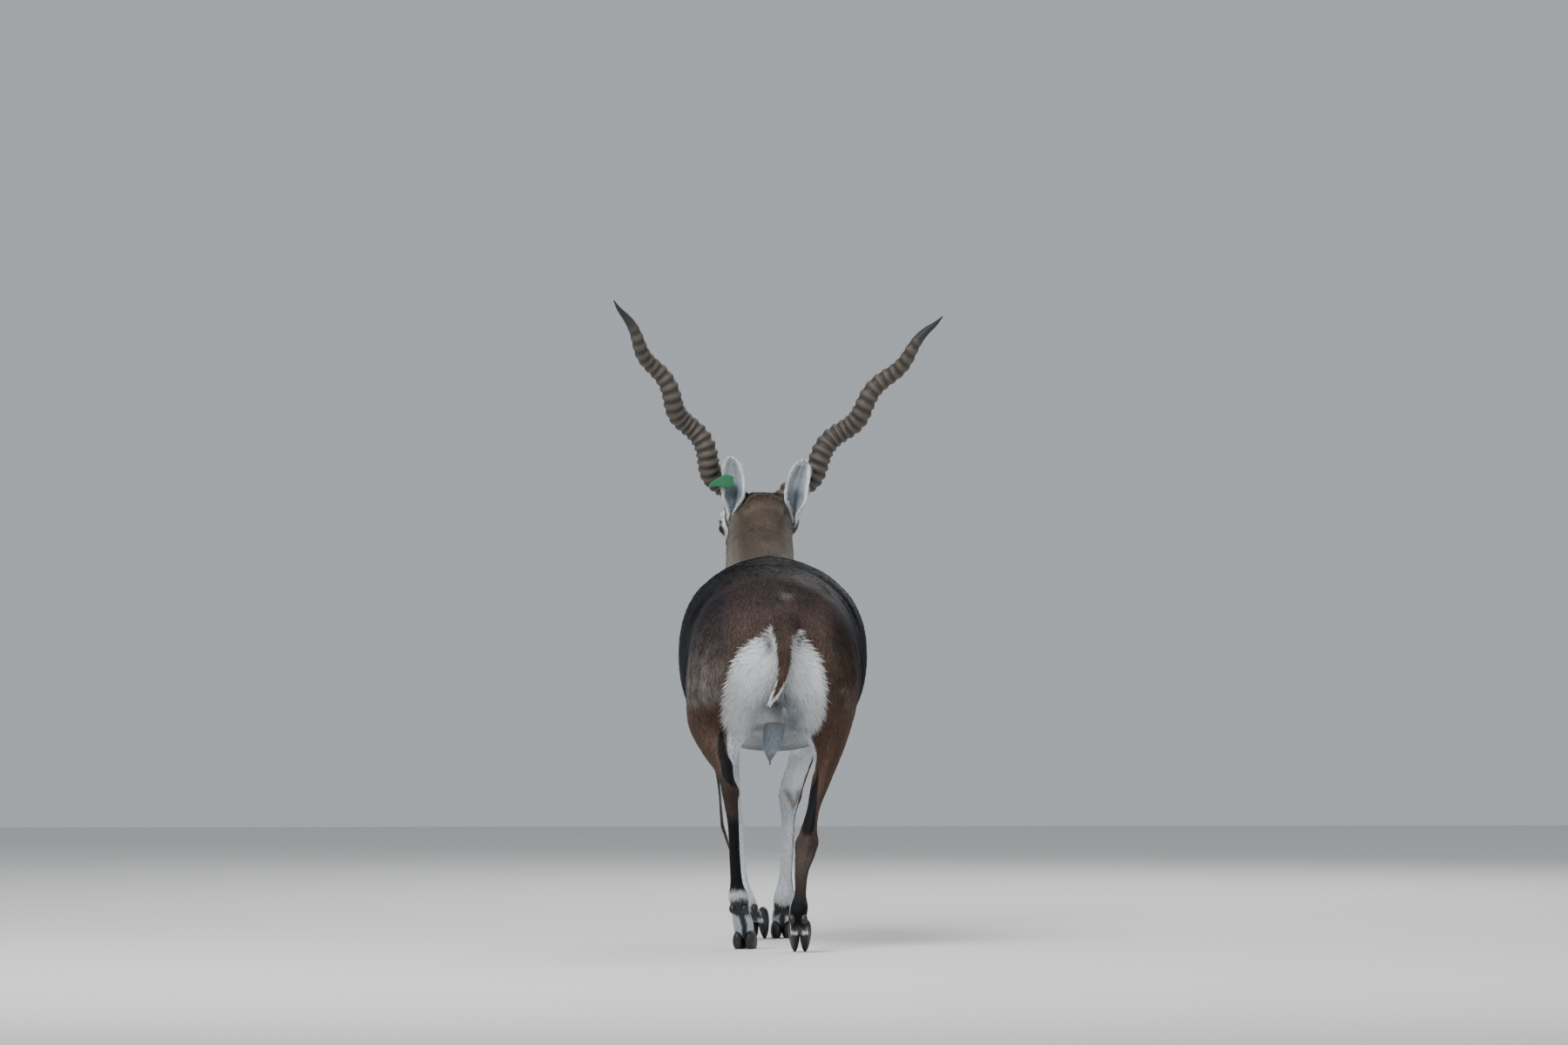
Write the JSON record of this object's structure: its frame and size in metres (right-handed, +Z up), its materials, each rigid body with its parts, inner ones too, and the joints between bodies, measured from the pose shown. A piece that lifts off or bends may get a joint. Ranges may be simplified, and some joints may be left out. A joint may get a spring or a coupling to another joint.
{
  "type": "blackbuck",
  "caption": "Still life-size model of a walking adult male blackbuck antelope with long ringed spiral horns, lowered head, ears turned back and a plain green tag in its left ear",
  "frame": {"origin": "on the floor, below the middle of the whole animal's outer box", "axes": "+X is the animal's right side, +Y is the way its body faces, +Z is up; the floor is at z = 0"},
  "size_m": [0.6398, 1.3136, 1.2205],
  "materials": {
    "coat_dark": "short glossy hair",
    "coat_brown": "short hair",
    "coat_white": "soft hair",
    "horn_keratin": "ringed, satin",
    "hoof_keratin": "satin",
    "eye": "wet gloss",
    "tag_plastic": "moulded, satin"
  },
  "bodies": {
    "root": {"torso": "coat_dark", "neck": "coat_brown", "head": "coat_brown", "tail": "coat_brown", "scrotum": "coat_white", "ear_left": "coat_white", "ear_right": "coat_white", "eye_left": "eye", "eye_right": "eye", "horn_left": "horn_keratin", "horn_right": "horn_keratin", "ear_tag_stud": "tag_plastic", "ear_tag_flap": "tag_plastic", "leg_hind_left_upper": "coat_brown", "leg_hind_left_lower": "coat_dark", "leg_hind_left_foot": "coat_white", "leg_hind_left_claw_left": "hoof_keratin", "leg_hind_left_claw_right": "hoof_keratin", "leg_hind_right_upper": "coat_brown", "leg_hind_right_lower": "coat_dark", "leg_hind_right_foot": "coat_white", "leg_hind_right_claw_left": "hoof_keratin", "leg_hind_right_claw_right": "hoof_keratin", "leg_fore_left_upper": "coat_brown", "leg_fore_left_lower": "coat_white", "leg_fore_left_foot": "coat_white", "leg_fore_left_claw_left": "hoof_keratin", "leg_fore_left_claw_right": "hoof_keratin", "leg_fore_right_upper": "coat_brown", "leg_fore_right_lower": "coat_white", "leg_fore_right_foot": "coat_white", "leg_fore_right_claw_left": "hoof_keratin", "leg_fore_right_claw_right": "hoof_keratin"}
  },
  "joints": []
}
